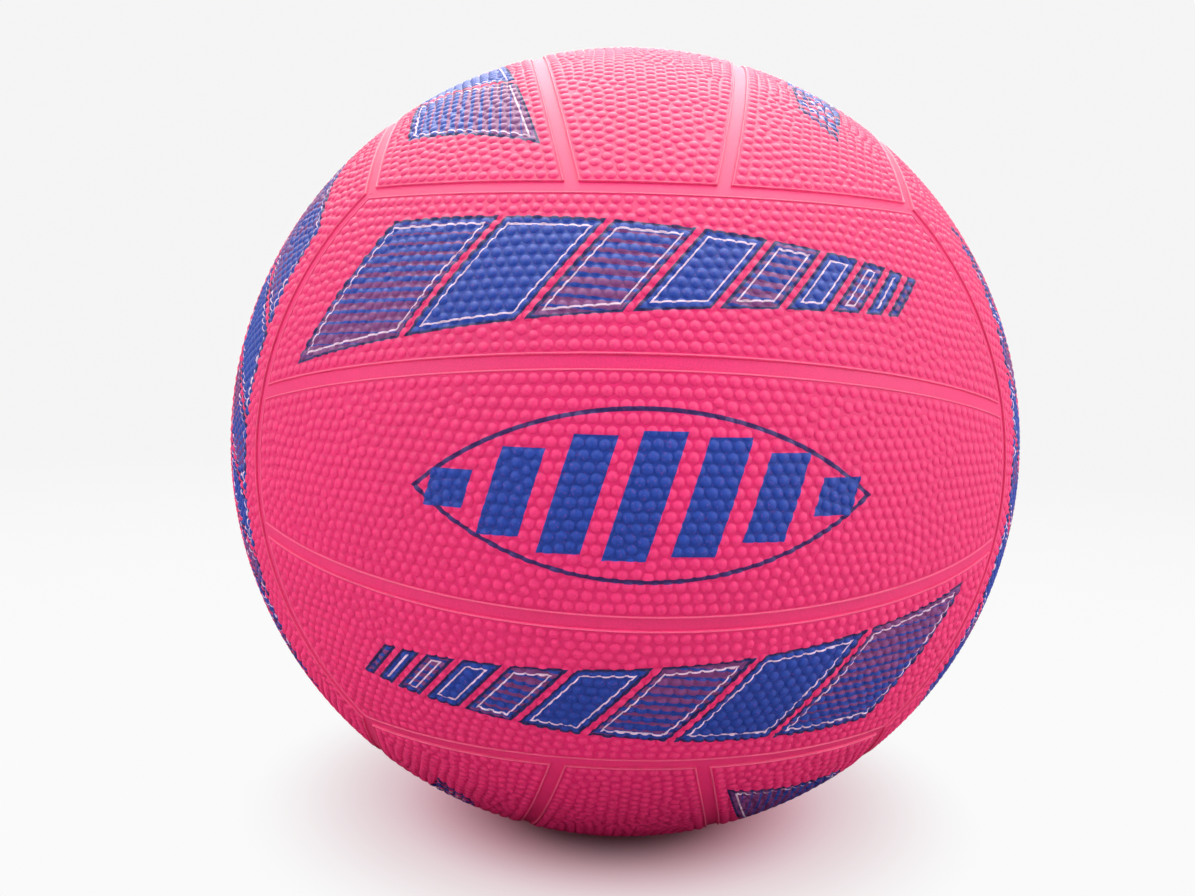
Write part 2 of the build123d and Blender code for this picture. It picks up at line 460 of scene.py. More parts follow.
def raise_pebbles(sheet, points, sizes):
    """Makes a dome at every pebble centre of a panel."""
    tree = point_tree(points)
    crown = mark(sheet, "crown")
    stems = [vert for vert in sheet.verts if tree.find(vert.co)[2] < SAME_POINT]
    pads = bmesh.ops.bevel(
        sheet, geom=stems, offset=PAD_SHARE, offset_type="PERCENT", affect="VERTICES",
        segments=1, profile=0.5, material=-1,
    )["faces"]
    pad_edges = {edge for pad in pads for edge in pad.edges}
    bmesh.ops.bisect_edges(sheet, edges=list(pad_edges), cuts=1)
    for pad in pads:
        centre, index, _ = tree.find(pad.calc_center_median())
        for vert in pad.verts:
            foot = centre + (vert.co - centre).normalized() * sizes[index]
            vert.co = foot.normalized() * FACE_RADIUS
            vert[crown] = 0
    bmesh.ops.inset_individual(sheet, faces=pads, thickness=SHOULDER_INSET, use_even_offset=True)
    for pad in pads:
        for vert in pad.verts:
            vert.co = vert.co.normalized() * (FACE_RADIUS + SHOULDER_HEIGHT)
            vert[crown] = 1
    for vert in bmesh.ops.poke(sheet, faces=pads, center_mode="MEAN")["verts"]:
        vert.co = vert.co.normalized() * (FACE_RADIUS + PEBBLE_HEIGHT)
        vert[crown] = 1
    return len(pads)


for kind, sheet in sheets.items():
    sizes = pebble_sizes(centres[kind], SIZE_SEEDS[kind])
    print(kind, "panel:", raise_pebbles(sheet, centres[kind], sizes), "domes")

# %% [markdown]
# ## Maps for the ink and for the bake
# The print follows a strip, so each panel carries a map in millimetres: along the strip and across
# it. An unwrap could give a map too, but not in true lengths. A second map packs the same faces into
# a square for baking: the left and right halves of the outside one above the other, with the
# underside and the walls in narrow bands below them.

# %% Strip map and bake map
HALF_TOPS = (0.98, 0.51)
HALF_HEIGHT = 0.42
UNDERSIDE_BAND = (0.02, 0.07)
WALL_BAND = (0.004, 0.014)
WALL_SQUEEZE = 2.1
WALL_DEPTH = FACE_RADIUS + LIP_TOP * MM - PANEL_INNER
MAP_MARGIN = 0.01
UNDERSIDE_BELOW = -0.5     # how much a face's normal points away from the ball's centre
WALL_BELOW = 0.15


def strip_place(strip, point):
    """Millimetres along and across a strip."""
    forward, upward = tilted_axes(STRIP_TILT[strip])
    direction = np.array(point) / math.sqrt(point @ point)
    return (
        FACE_RADIUS * math.atan2(direction[0], direction @ forward) / MM,
        FACE_RADIUS * math.asin(direction @ upward) / MM,
    )


def into_band(band, share):
    """A height inside one of the bake map's bands."""
    return band[0] + (band[1] - band[0]) * share


def add_maps(sheet, strip):
    """Gives a panel its strip map and its bake map, and tells half its length in mm."""
    strip_map = sheet.loops.layers.uv.new("strip_map")
    bake_map = sheet.loops.layers.uv.new("OFBake")
    sheet.verts.index_update()
    places = [strip_place(strip, vert.co) for vert in sheet.verts]
    half_length = max(abs(place[0]) for place in places)
    reach = half_length * (1 + 2 * MAP_MARGIN)
    low = min(place[1] for place in places)
    tall = max(place[1] for place in places) - low
    for face in sheet.faces:
        outward = face.normal @ face.calc_center_median().normalized()
        spots = [places[vert.index] for vert in face.verts]
        right = sum(spot[0] for spot in spots) / len(spots) > 0
        for loop, (length, height) in zip(face.loops, spots):
            loop[strip_map].uv = (length, height)
            rise = (height - low) / tall
            if outward < UNDERSIDE_BELOW:
                spot = (0.5 + length / reach / 2, into_band(UNDERSIDE_BAND, rise))
            elif outward < WALL_BELOW:
                depth = (loop.vert.co.length - PANEL_INNER) / WALL_DEPTH
                spot = (0.5 + (length + rise) / reach / WALL_SQUEEZE, into_band(WALL_BAND, depth))
            else:
                share = abs(length) / reach if (length > 0) == right else -abs(length) / reach
                top = HALF_TOPS[right]
                spot = (2 * MAP_MARGIN + share * (1 - 3 * MAP_MARGIN), top - HALF_HEIGHT * (1 - rise))
            loop[bake_map].uv = spot
    return half_length


for kind, sheet in sheets.items():
    half_length = add_maps(sheet, PANEL_STRIPS[kind])
    print(kind, "panel's map reaches", round(half_length, 1), "mm to each side")

# %% [markdown]
# ## Soft domes and crisp walls
# Moulded rubber has soft domes and crisp rims. Finer faces could round the domes, at a great cost,
# so smooth shading does it. Edges sharper than a set angle stay crisp, which keeps the walls, the
# lips and the feet of the pebbles clear.

# %% Make the three kinds of panel
SHARP_ANGLE = math.radians(40)


def finish_mesh(sheet, name):
    """Turns a bmesh into a mesh with soft domes and crisp walls."""
    mesh = bpy.data.meshes.new(name)
    sheet.to_mesh(mesh)
    sheet.free()
    mesh.shade_smooth()
    mesh.set_sharp_from_angle(angle=SHARP_ANGLE)
    return mesh


panel_meshes = {kind: finish_mesh(sheet, kind) for kind, sheet in sheets.items()}
for kind, mesh in panel_meshes.items():
    mesh.calc_loop_triangles()
    print(kind, "panel:", len(mesh.loop_triangles), "triangles")

# %% [markdown]
# ## Channels
# Between the panels run smooth channels, and their floor follows the ball. They could be cut out of
# a sphere, but cuts leave ragged faces. So each starts as a flat grid and is bent: its length goes
# along a cut's arc and its width across it. The channels along a face's edge end in a point, where
# three of them meet at a corner.

# %% Bend grids into channel strips
LENGTH_STEPS = 72
WIDTH_STEPS = 4
MITRE_LENGTH = math.sqrt(5)     # a mitre's normal goes one step along and two across, or the reverse
MITRE_LOW, MITRE_HIGH = math.atan(1 / 2), math.atan(2)


def seam_place(share, side):
    """A point of the channel along the upper seam, ending at the face's own edge channels."""
    cut = (SEAM_NORMAL, side * HALF_CHANNEL)
    end = (FORWARD, EDGE_DISTANCE + HALF_CHANNEL * EDGE_SLOPE)
    right = corner(cut, end, CHANNEL_FLOOR)
    return along(right * LEFT_FOR_RIGHT, right, cut, (share + 1) / 2)


def edge_place(share, side):
    """A point of the channel between the front and top faces, mitred at both corners."""
    height = EDGE_DISTANCE + side * HALF_CHANNEL * EDGE_SLOPE
    arm = math.sqrt(CHANNEL_FLOOR**2 - height**2)
    lean = math.asin(height / arm / MITRE_LENGTH)
    reach = min(lean + MITRE_LOW, MITRE_HIGH - lean)
    return np.array((arm * math.sin(share * reach), -arm * math.cos(share * reach), height))


def channel_mesh(name, place):
    """A channel strip bent from a flat grid, with its depth."""
    strip = bmesh.new()
    bmesh.ops.create_grid(strip, x_segments=LENGTH_STEPS, y_segments=WIDTH_STEPS, size=1)
    for vert in strip.verts:
        vert.co = place(vert.co.x, vert.co.y)
    thicken(strip, PANEL_INNER)
    mesh = finish_mesh(strip, name)
    print(name, "channel:", len(mesh.polygons), "faces")
    return mesh


channel_meshes = {
    "seam": channel_mesh("seam", seam_place),
    "edge": channel_mesh("edge", edge_place),
}

# %% [markdown]
# ## Turn every strip to its place
# Each face of the ball is the front face turned, and the second outer strip of a face is the first
# one turned half round. Linked copies of one mesh would be lighter, but every piece has to sit at
# the origin unturned, so the turn goes into a mesh of its own. Each piece stands for the solid of
# the same place and moves with the ball.

# %% Place the panels and channels
FACES = [
    ("front", "upper", "lower", (1, 0, 0), (0, 0, 1)),
    ("back", "upper", "lower", (-1, 0, 0), (0, 0, 1)),
    ("top", "left", "right", (0, 1, 0), (-1, 0, 0)),
    ("bottom", "left", "right", (0, -1, 0), (-1, 0, 0)),
    ("left", "front", "rear", (0, 0, -1), (0, -1, 0)),
    ("right", "front", "rear", (0, 0, 1), (0, -1, 0)),
]
HALF_TURN = Matrix.Rotation(math.pi, 4, "Y")


def face_turn(x_axis, z_axis):
    """The turn that takes the front face to another face."""
    x_axis, z_axis = Vector(x_axis), Vector(z_axis)
    return Matrix((x_axis, z_axis.cross(x_axis), z_axis)).transposed().to_4x4()


def add_object(name, data):
    """A new object in the scene, at the origin."""
    thing = bpy.data.objects.new(name, data)
    bpy.context.scene.collection.objects.link(thing)
    return thing


def place_piece(master, name, turn, node):
    """A turned copy of a master mesh, which stands for a solid and moves with the ball."""
    mesh = master.copy()
    mesh.name = name
    mesh.transform(turn)
    piece = add_object(name, mesh)
    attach(piece, "ball")
    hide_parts(node)
    return piece


outer_pieces, middle_pieces, channel_pieces = {}, {}, {}
for face, first, second, x_axis, z_axis in FACES:
    turn = face_turn(x_axis, z_axis)
    for side, side_turn in ((first, turn), (second, turn @ HALF_TURN)):
        at = f"{face}_{side}"
        outer_pieces[at] = place_piece(
            panel_meshes["outer"], f"{at}_cover", side_turn, f"{at}_panel"
        )
        for kind in ("seam", "edge"):
            channel_pieces[f"{at}_{kind}"] = place_piece(
                channel_meshes[kind], f"{at}_{kind}_channel", side_turn, f"{at}_{kind}_strip"
            )
    kind = "valve" if face == "back" else "middle"
    middle_pieces[face] = place_piece(
        panel_meshes[kind], f"{face}_middle_cover", turn, f"{face}_middle_panel"
    )
print("placed", len(outer_pieces) + len(middle_pieces), "panels and", len(channel_pieces), "channels")

# %% [markdown]
# ## Valve plug
# The plug is moulded rubber, turned in shape: a flat head with a funnel for the pump's needle and a
# grip groove, and a grooved stem that the seat squeezes. It could be stacked from cylinders, but one
# spun outline has no seams. The outline is drawn once, from the bottom of the needle bore around to
# the stem's tip, and spun about the valve's axis.

# %% Outline of the plug
PLUG_BACK, PLUG_FRONT = (limit.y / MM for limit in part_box("valve_plug"))
HEAD_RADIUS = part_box("valve_plug")[1].x / MM
STEM_RADIUS = 3.0
STEM_LENGTH = 16.0
BORE_RADIUS = 1.0
SEAL_THICKNESS = 2.5
TIP_CHAMFER = 0.8
HEAD_CHAMFER = 0.15
GROOVE_DEPTH = 0.15
FUNNEL = [(0.0, 0.8), (0.15, 0.45), (0.5, 0.1), (0.75, 0.0)]     # out from the bore, below the face
GRIP_GROOVE = [(2.3, 0.0), (2.4, GROOVE_DEPTH), (2.7, GROOVE_DEPTH), (2.8, 0.0)]     # radius, below
HEAD_EDGE = [(0.35, 0.0), (0.1, 0.1), (0.0, 0.35)]     # in from the side, below the face
STEM_GROOVE = [(0.0, 0.0), (0.3, GROOVE_DEPTH), (0.9, GROOVE_DEPTH), (1.2, 0.0)]     # along, depth
STEM_GROOVES = (4.0, 6.5, 9.0)     # from the underside of the head, in mm


def plug_outline():
    """Radius and place along the valve's axis, in mm, from the bore's floor to the stem's tip."""
    bore_floor = PLUG_BACK + SEAL_THICKNESS
    underside = PLUG_BACK + STEM_LENGTH
    outline = [(0, bore_floor), (BORE_RADIUS, bore_floor)]
    outline += [(BORE_RADIUS + out, PLUG_FRONT - below) for out, below in FUNNEL]
    outline += [(radius, PLUG_FRONT - below) for radius, below in GRIP_GROOVE]
    outline += [(HEAD_RADIUS - inset, PLUG_FRONT - below) for inset, below in HEAD_EDGE]
    outline += [(HEAD_RADIUS, underside + HEAD_CHAMFER), (HEAD_RADIUS - HEAD_CHAMFER, underside)]
    outline += [(STEM_RADIUS, underside)]
    for groove in STEM_GROOVES:
        at = underside - groove
        outline += [(STEM_RADIUS - depth, at - step) for step, depth in STEM_GROOVE]
    outline += [(STEM_RADIUS, PLUG_BACK + TIP_CHAMFER), (STEM_RADIUS - TIP_CHAMFER, PLUG_BACK)]
    return outline + [(0, PLUG_BACK)]


print("points in the plug's outline:", len(plug_outline()))

# %% Spin the plug
PLUG_STEPS = 56


def spin_plug():
    """The plug as one closed turned body."""
    bm = bmesh.new()
    verts = [bm.verts.new((radius * MM, place * MM, 0)) for radius, place in plug_outline()]
    edges = [bm.edges.new(pair) for pair in zip(verts, verts[1:])]
    bmesh.ops.spin(
        bm, geom=verts + edges, cent=(0, 0, 0), axis=(0, 1, 0),
        angle=2 * math.pi, steps=PLUG_STEPS, use_merge=True,
    )
    bmesh.ops.remove_doubles(bm, verts=bm.verts, dist=SAME_POINT)
    bmesh.ops.recalc_face_normals(bm, faces=bm.faces)
    return finish_mesh(bm, "needle_plug")


needle_plug = add_object("needle_plug", spin_plug())
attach(needle_plug, "plug")
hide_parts("valve_plug")
print("plug:", len(needle_plug.data.polygons), "faces")

# %% [markdown]
# ## Nodes for the finishes
# Every finish is a small network of nodes. It could be drawn by hand in the node editor, but in a
# script the same few steps come again and again. So they are helpers: a new material, one step of
# arithmetic, a blend of two colours, noise of a real grain size, and a bump.

# %% Node helpers
def new_material(name):
    """An empty node material with its shader."""
    material = bpy.data.materials.new(name)
    material.use_nodes = True
    tree = material.node_tree
    tree.nodes.clear()
    output = tree.nodes.new("ShaderNodeOutputMaterial")
    shader = tree.nodes.new("ShaderNodeBsdfPrincipled")
    tree.links.new(shader.outputs["BSDF"], output.inputs["Surface"])
    return material, tree, shader


def connect(tree, value, socket):
    """Links a socket, or sets a plain number or colour."""
    if isinstance(value, bpy.types.NodeSocket):
        tree.links.new(value, socket)
    elif isinstance(value, tuple):
        socket.default_value = (*value, 1)
    else:
        socket.default_value = value


def sum_of(tree, operation, *values):
    """One step of arithmetic on sockets and numbers."""
    node = tree.nodes.new("ShaderNodeMath")
    node.operation = operation
    for value, socket in zip(values, node.inputs):
        connect(tree, value, socket)
    return node.outputs[0]


def blend_colours(tree, share, first, second):
    """The first colour where the share is nought, the second where it is one."""
    node = tree.nodes.new("ShaderNodeMix")
    node.data_type = "RGBA"
    for value, index in ((share, 0), (first, 6), (second, 7)):
        connect(tree, value, node.inputs[index])
    return node.outputs[2]


def object_place(tree):
    """The place on a piece, from its origin."""
    return tree.nodes.new("ShaderNodeTexCoord").outputs["Object"]


def object_noise(tree, grain, detail):
    """Noise of a real grain size, fixed to the piece."""
    node = tree.nodes.new("ShaderNodeTexNoise")
    node.inputs["Scale"].default_value = 1 / grain
    node.inputs["Detail"].default_value = detail
    tree.links.new(object_place(tree), node.inputs["Vector"])
    return node.outputs["Fac"]


def add_bump(tree, shader, height, distance, strength):
    """Tilts the light on a surface by a height that is too small to model."""
    bump = tree.nodes.new("ShaderNodeBump")
    bump.inputs["Strength"].default_value = strength
    bump.inputs["Distance"].default_value = distance
    tree.links.new(height, bump.inputs["Height"])
    tree.links.new(bump.outputs["Normal"], shader.inputs["Normal"])


waiting = [*outer_pieces.values(), *middle_pieces.values(), *channel_pieces.values(), needle_plug]
print("pieces that wait for a finish:", len(waiting))

# %% [markdown]
# ## Rubber
# The cover is matt pink rubber: a deep colour under a broad, weak shine, so it pales towards the
# outline, where the lights are mirrored at a low angle. One plain colour would look painted. So a
# fine grain mottles it and breaks up the shine, and a slow drift shifts the tone of large areas.
# The ground between the pebbles gets painted shade, darker and deeper in colour, their crowns a
# little painted light, and the lips a painted highlight. A picture of rubber would stretch and
# repeat, so the grain is noise on the piece's own coordinates.

# %% Rubber surface
GRAIN = 0.3 * MM
GRAIN_DETAIL = 3
GRAIN_HEIGHT = 0.05 * MM
GRAIN_STRENGTH = 0.8
GRAIN_GLOSS = 0.2
GRAIN_TONE = 0.5
DRIFT = 28 * MM
DRIFT_DETAIL = 2
DRIFT_TONE = 0.12
RUBBER_SHINE = 0.44
# painted shade: the ground between the pebbles is darkened and deepened in colour, and what stands up is
# a little lightened
GAP_SHADE_LEVEL = 0.95
CROWN_LIGHT_LEVEL = 1.05
GAP_SHADE_SATURATION = 0.016


def vertex_mark(tree, name):
    """The number that a panel's vertices carry under a name."""
    node = tree.nodes.new("ShaderNodeAttribute")
    node.attribute_name = name
    return node.outputs["Fac"]


def rubber_surface(tree, shader, colour, roughness, pebbled=False):
    """Colour with a slow drift of tone, uneven gloss and a fine grain, and on pebbled pieces painted
    shade between the pebbles and a little painted light on their crowns.
    """
    grain = object_noise(tree, GRAIN, GRAIN_DETAIL)
    drift = object_noise(tree, DRIFT, DRIFT_DETAIL)
    mottle = sum_of(tree, "MULTIPLY_ADD", grain, GRAIN_TONE, 1 - (GRAIN_TONE + DRIFT_TONE) / 2)
    level = sum_of(tree, "MULTIPLY_ADD", drift, DRIFT_TONE, mottle)
    tone = tree.nodes.new("ShaderNodeHueSaturation")
    # painted shade between the pebbles, read from the crown mark
    if pebbled:
        crown = vertex_mark(tree, "crown")
        shade = sum_of(tree, "MULTIPLY_ADD", crown, CROWN_LIGHT_LEVEL - GAP_SHADE_LEVEL, GAP_SHADE_LEVEL)
        level = sum_of(tree, "MULTIPLY", level, shade)
        depth = sum_of(tree, "MULTIPLY_ADD", crown, -GAP_SHADE_SATURATION, 1 + GAP_SHADE_SATURATION)
        tree.links.new(depth, tone.inputs["Saturation"])
    tree.links.new(level, tone.inputs["Value"])
    connect(tree, colour, tone.inputs["Color"])
    tree.links.new(tone.outputs["Color"], shader.inputs["Base Color"])
    gloss = sum_of(tree, "MULTIPLY_ADD", grain, GRAIN_GLOSS, roughness)
    tree.links.new(gloss, shader.inputs["Roughness"])
    shader.inputs["Specular IOR Level"].default_value = RUBBER_SHINE
    add_bump(tree, shader, grain, GRAIN_HEIGHT, GRAIN_STRENGTH)


print("grain in mm:", round(GRAIN / MM, 2), "drift in mm:", round(DRIFT / MM, 1))

# %% Plain rubber on panels and channels
PINK = (0.84, 0.022, 0.178)
# a painted highlight along the top of every lip
RIDGE_HIGHLIGHT_PINK = (0.95, 0.32, 0.47)
RIDGE_HIGHLIGHT_SHOW = 0.32
COVER_ROUGHNESS = 0.53


def paint_ridge_highlight(tree, colour):
    """A colour with a painted highlight along the ridge of the lips."""
    share = sum_of(tree, "MULTIPLY", vertex_mark(tree, "ridge"), RIDGE_HIGHLIGHT_SHOW)
    return blend_colours(tree, share, colour, RIDGE_HIGHLIGHT_PINK)


def plain_rubber(name, colour, roughness):
    """Smooth rubber of one colour."""
    material, tree, shader = new_material(name)
    rubber_surface(tree, shader, colour, roughness)
    return material


def lipped_rubber(name, colour, roughness):
    """Pebbled rubber of one colour, with a painted highlight on the lips and painted shade between the
    pebbles.
    """
    material, tree, shader = new_material(name)
    rubber_surface(tree, shader, paint_ridge_highlight(tree, colour), roughness, pebbled=True)
    return material


cover_rubber = lipped_rubber("cover_rubber", PINK, COVER_ROUGHNESS)
channel_rubber = plain_rubber("channel_rubber", PINK, COVER_ROUGHNESS)
for face, piece in middle_pieces.items():
    if face != "front":
        piece.data.materials.append(cover_rubber)
for piece in channel_pieces.values():
    piece.data.materials.append(channel_rubber)
print("plain rubber on", len(middle_pieces) - 1 + len(channel_pieces), "pieces")

# %% [markdown]
# ## Printed ink
# Ink is laid on with pads that squash over the pebbles, so its edges stay crisp and a few specks of
# rubber show through. It could be painted on a picture, but that blurs when it is seen from close
# by. So the print is drawn by arithmetic on the strip map, which gives millimetres along and across
# a strip: the edges stay sharp, and every length in the print has a name.

# %% Ink on rubber
SPECK = 0.5 * MM
SPECK_DETAIL = 2
SPECK_LEVEL = 0.64
SPECK_SHOW = 0.10


def strip_millimetres(tree):
    """Sockets with the place along and across a strip."""
    node = tree.nodes.new("ShaderNodeUVMap")
    node.uv_map = "strip_map"
    parts = tree.nodes.new("ShaderNodeSeparateXYZ")
    tree.links.new(node.outputs["UV"], parts.inputs[0])
    return parts.outputs["X"], parts.outputs["Y"]


def printed_rubber(name, ink, mask):
    """Rubber under ink: two functions draw the ink's colour and where it lies."""
    material, tree, shader = new_material(name)
    along_mm, across_mm = strip_millimetres(tree)
    inside = mask(tree, along_mm, across_mm)
    specks = sum_of(tree, "GREATER_THAN", object_noise(tree, SPECK, SPECK_DETAIL), SPECK_LEVEL)
    bare = sum_of(tree, "MULTIPLY", specks, inside)
    share = sum_of(tree, "MULTIPLY_ADD", bare, -SPECK_SHOW, inside)
    # the bare rubber keeps the painted lip highlight, and the pebble gaps get painted shade
    colour = blend_colours(tree, share, paint_ridge_highlight(tree, PINK), ink(tree, along_mm, across_mm))
    rubber_surface(tree, shader, colour, COVER_ROUGHNESS, pebbled=True)
    return material


print("specks of rubber in the ink in mm:", round(SPECK / MM, 2))

# %% [markdown]
# ## Slanted blocks
# Each outer strip carries a row of slanted blocks, hatched purple and blue in turn, which get
# narrower from its left end to its right end. Every block could have nodes of its own, but nine
# blocks would need a great many. Instead one colour ramp holds the distance to the nearest block
# edge along the row, and this one number gives the block, its dark rim and its pale line.

# %% A row of blocks
BLOCK_WIDTHS = [30, 24, 19, 15, 11.5, 8.5, 6, 4, 2.5]     # from the strip's left end, in mm
BLOCK_GAP = 2.2
ROW_START = -77.0
ROW_MIDDLE = 20.5
ROW_HALF_HEIGHT = 16.0
ROW_TAPER = 0.075
ROW_SLANT = 0.8


def block_edges():
    """The first and last edge of every block, measured from the start of the row."""
    edges = []
    place = BLOCK_GAP
    for width in BLOCK_WIDTHS:
        edges.append((place, place + width))
        place += width + BLOCK_GAP
    return edges


BLOCKS = block_edges()
ROW_LENGTH = BLOCKS[-1][1] + BLOCK_GAP
DEEPEST = max(BLOCK_WIDTHS) / 2


def colour_steps(tree, value, stops, interpolation):
    """A colour ramp from a list of places and colours."""
    node = tree.nodes.new("ShaderNodeValToRGB")
    node.color_ramp.interpolation = interpolation
    elements = node.color_ramp.elements
    elements.remove(elements[1])
    for index, (place, colour) in enumerate(stops):
        element = elements[0] if index == 0 else elements.new(place)
        element.position = place
        element.color = (*colour, 1)
    tree.links.new(value, node.inputs[0])
    return node.outputs["Color"]


def row_share(tree, along_mm, across_mm):
    """The share of the row's length at which a place lies, past the slant of the blocks."""
    rise = sum_of(tree, "SUBTRACT", across_mm, ROW_MIDDLE)
    slanted = sum_of(tree, "MULTIPLY_ADD", rise, -ROW_SLANT, along_mm)
    return sum_of(tree, "DIVIDE", sum_of(tree, "SUBTRACT", slanted, ROW_START), ROW_LENGTH)


def block_depth(tree, along_mm, across_mm):
    """Millimetres inside the nearest block edge, and nought in the gaps."""
    share = row_share(tree, along_mm, across_mm)
    grey = [(0, (0, 0, 0))]
    for first, last in BLOCKS:
        half = (last - first) / 2
        for place, depth in ((first, 0), (first + half, half), (last, 0)):
            grey.append((place / ROW_LENGTH, (depth / DEEPEST,) * 3))
    side = sum_of(tree, "MULTIPLY", colour_steps(tree, share, grey, "LINEAR"), DEEPEST)
    half_height = sum_of(tree, "MULTIPLY_ADD", share, -ROW_TAPER * ROW_LENGTH, ROW_HALF_HEIGHT)
    rise = sum_of(tree, "ABSOLUTE", sum_of(tree, "SUBTRACT", across_mm, ROW_MIDDLE))
    return sum_of(tree, "MINIMUM", side, sum_of(tree, "SUBTRACT", half_height, rise))


print("a row of", len(BLOCKS), "blocks,", round(ROW_LENGTH, 1), "mm long")

# %% Ink of the blocks
BLUE = (0.001, 0.045, 0.370)
PURPLE = (0.200, 0.040, 0.200)
NAVY = (0.008, 0.012, 0.110)
PALE = (0.800, 0.600, 0.760)
INK_EDGE = 0.01
KEYLINE = 0.6
PALE_LINE = (1.7, 2.15)
HATCH_PITCH = 2.4
HATCH_LEAN = 0.1


def between(tree, value, low, high):
    """One where a value lies between two limits, and nought elsewhere."""
    above = sum_of(tree, "GREATER_THAN", value, low)
    below = sum_of(tree, "LESS_THAN", value, high)
    return sum_of(tree, "MULTIPLY", above, below)


def block_mask(tree, along_mm, across_mm):
    """Where the blocks are inked."""
    return sum_of(tree, "GREATER_THAN", block_depth(tree, along_mm, across_mm), INK_EDGE)


def hatching(tree, along_mm, across_mm):
    """Blue lines on purple, which grow wider from the foot of the row to its top."""
    lines = sum_of(tree, "MULTIPLY_ADD", along_mm, HATCH_LEAN, across_mm)
    phase = sum_of(tree, "FRACT", sum_of(tree, "DIVIDE", lines, HATCH_PITCH))
    foot = ROW_MIDDLE - ROW_HALF_HEIGHT
    duty = sum_of(tree, "DIVIDE", sum_of(tree, "SUBTRACT", across_mm, foot), 2 * ROW_HALF_HEIGHT)
    return blend_colours(tree, sum_of(tree, "LESS_THAN", phase, duty), PURPLE, BLUE)


def block_ink(tree, along_mm, across_mm):
    """Hatched purple blocks and blue ones in turn, with a dark rim and a pale line inside it."""
    depth = block_depth(tree, along_mm, across_mm)
    kinds = [(first / ROW_LENGTH, ((index + 1) % 2,) * 3) for index, (first, _) in enumerate(BLOCKS)]
    is_hatched = colour_steps(tree, row_share(tree, along_mm, across_mm), kinds, "CONSTANT")
    fill = blend_colours(tree, is_hatched, BLUE, hatching(tree, along_mm, across_mm))
    with_pale = blend_colours(tree, between(tree, depth, *PALE_LINE), fill, PALE)
    return blend_colours(tree, sum_of(tree, "LESS_THAN", depth, KEYLINE), with_pale, NAVY)


block_print = printed_rubber("block_print", block_ink, block_mask)
for piece in outer_pieces.values():
    piece.data.materials.append(block_print)
print("blocks printed on", len(outer_pieces), "strips")

# %% [markdown]
# ## Bars and arcs
# The front strip carries slanted blue bars between two thin violet arcs. The bars could be drawn one
# by one, but rounding a place to the nearest bar repeats a single bar as often as needed. An arc
# lies where the distance to a far centre is close to its radius.

# %% Bars and arcs for the front strip
BAR_PITCH = 14.0
BAR_HALF_WIDTH = 4.6
BAR_SLANT = 0.3
BAR_COUNT_EACH_SIDE = 3
BAR_HALF_HEIGHT = 13.5
BAR_DROP = 1.05
ARC_RADIUS = 78.0
ARC_CENTRE = 60.0
ARC_HALF_WIDTH = 0.48
VIOLET = (0.036, 0.012, 0.140)


def bar_mask(tree, along_mm, across_mm):
    """Slanted bars, tallest in the middle."""
    slanted = sum_of(tree, "MULTIPLY_ADD", across_mm, -BAR_SLANT, along_mm)
    number = sum_of(tree, "ROUND", sum_of(tree, "DIVIDE", slanted, BAR_PITCH))
    offset = sum_of(tree, "MULTIPLY_ADD", number, -BAR_PITCH, slanted)
    in_width = sum_of(tree, "LESS_THAN", sum_of(tree, "ABSOLUTE", offset), BAR_HALF_WIDTH)
    step = sum_of(tree, "ABSOLUTE", number)
    drop = sum_of(tree, "MULTIPLY", sum_of(tree, "MULTIPLY", step, step), -BAR_DROP)
    half_height = sum_of(tree, "ADD", drop, BAR_HALF_HEIGHT)
    in_height = sum_of(tree, "LESS_THAN", sum_of(tree, "ABSOLUTE", across_mm), half_height)
    counted = sum_of(tree, "LESS_THAN", step, BAR_COUNT_EACH_SIDE + 0.5)
    return sum_of(tree, "MULTIPLY", sum_of(tree, "MULTIPLY", in_width, in_height), counted)


def arc_mask(tree, along_mm, across_mm):
    """Two thin arcs that meet at both sides of the bars."""
    over = sum_of(tree, "ADD", sum_of(tree, "ABSOLUTE", across_mm), ARC_CENTRE)
    squares = sum_of(tree, "MULTIPLY_ADD", over, over, sum_of(tree, "MULTIPLY", along_mm, along_mm))
    off = sum_of(tree, "SUBTRACT", sum_of(tree, "SQRT", squares), ARC_RADIUS)
    return sum_of(tree, "LESS_THAN", sum_of(tree, "ABSOLUTE", off), ARC_HALF_WIDTH)


def front_mask(tree, along_mm, across_mm):
    """Where the front strip is inked."""
    bars = bar_mask(tree, along_mm, across_mm)
    return sum_of(tree, "MAXIMUM", bars, arc_mask(tree, along_mm, across_mm))


def front_ink(tree, along_mm, across_mm):
    """Blue bars and violet arcs."""
    return blend_colours(tree, bar_mask(tree, along_mm, across_mm), VIOLET, BLUE)


front_print = printed_rubber("front_print", front_ink, front_mask)
middle_pieces["front"].data.materials.append(front_print)
print("bars on the front strip:", 2 * BAR_COUNT_EACH_SIDE + 1)

# %% [markdown]
# ## Plug and inner layers
# The plug and its seat are dark moulded rubber. Under the cover lie a black carcass, a winding of
# nylon thread that crosses itself in all directions, and a smooth butyl bladder. The thread could be
# modelled turn by turn, but none of it shows while the ball is whole. So waves in four directions
# stand for it, and each layer has its own finish for anyone who lifts the cover.

# %% Nylon thread
NYLON = (0.78, 0.77, 0.72)
NYLON_SHADE = (0.40, 0.39, 0.36)
NYLON_ROUGHNESS = 0.45
NYLON_SHEEN = 0.2
THREAD_WIDTH = 0.6 * MM
THREAD_HEIGHT = 0.1 * MM
THREAD_STRENGTH = 1.0
THREAD_TURNS = ((0.0, 0.0), (0.9, 0.5), (1.7, 1.1), (2.5, 0.3))     # lean and swing of each wind
THREAD_WANDER = 1.5
WANDER_SCALE = 0.4
WAVE_REPEAT = math.pi / 10     # the length after which a wave texture repeats at a scale of one


